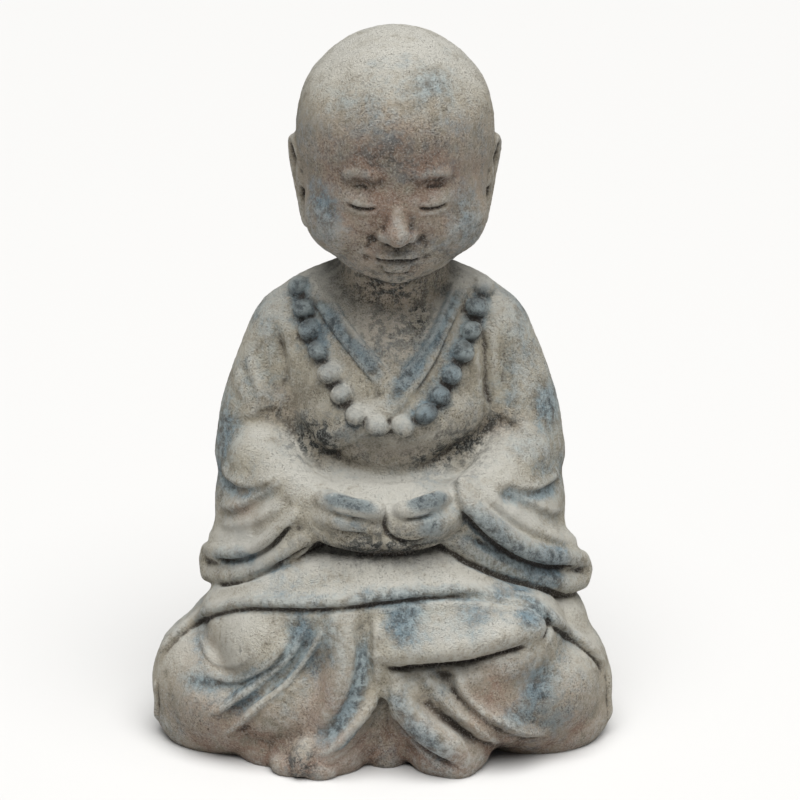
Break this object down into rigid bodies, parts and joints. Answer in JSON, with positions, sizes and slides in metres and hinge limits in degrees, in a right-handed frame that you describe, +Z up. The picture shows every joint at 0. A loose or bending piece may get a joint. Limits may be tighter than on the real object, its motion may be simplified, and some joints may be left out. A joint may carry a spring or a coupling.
{
  "type": "seated monk statue",
  "caption": "Seated child monk in a crossed robe with a string of beads, hands folded in the lap, cast in one piece in sand cement.",
  "frame": {"origin": "middle of the underside's outline box, on the ground", "axes": "+Z up, the figure faces -Y, +X is to the right of someone who looks at its face"},
  "size_m": [0.2584, 0.1716, 0.3977],
  "materials": {
    "cement": "weathered sand cement, worn blue-grey patina on raised edges and dirt in the hollows"
  },
  "bodies": {
    "root": {"statue": "cement"}
  },
  "joints": []
}
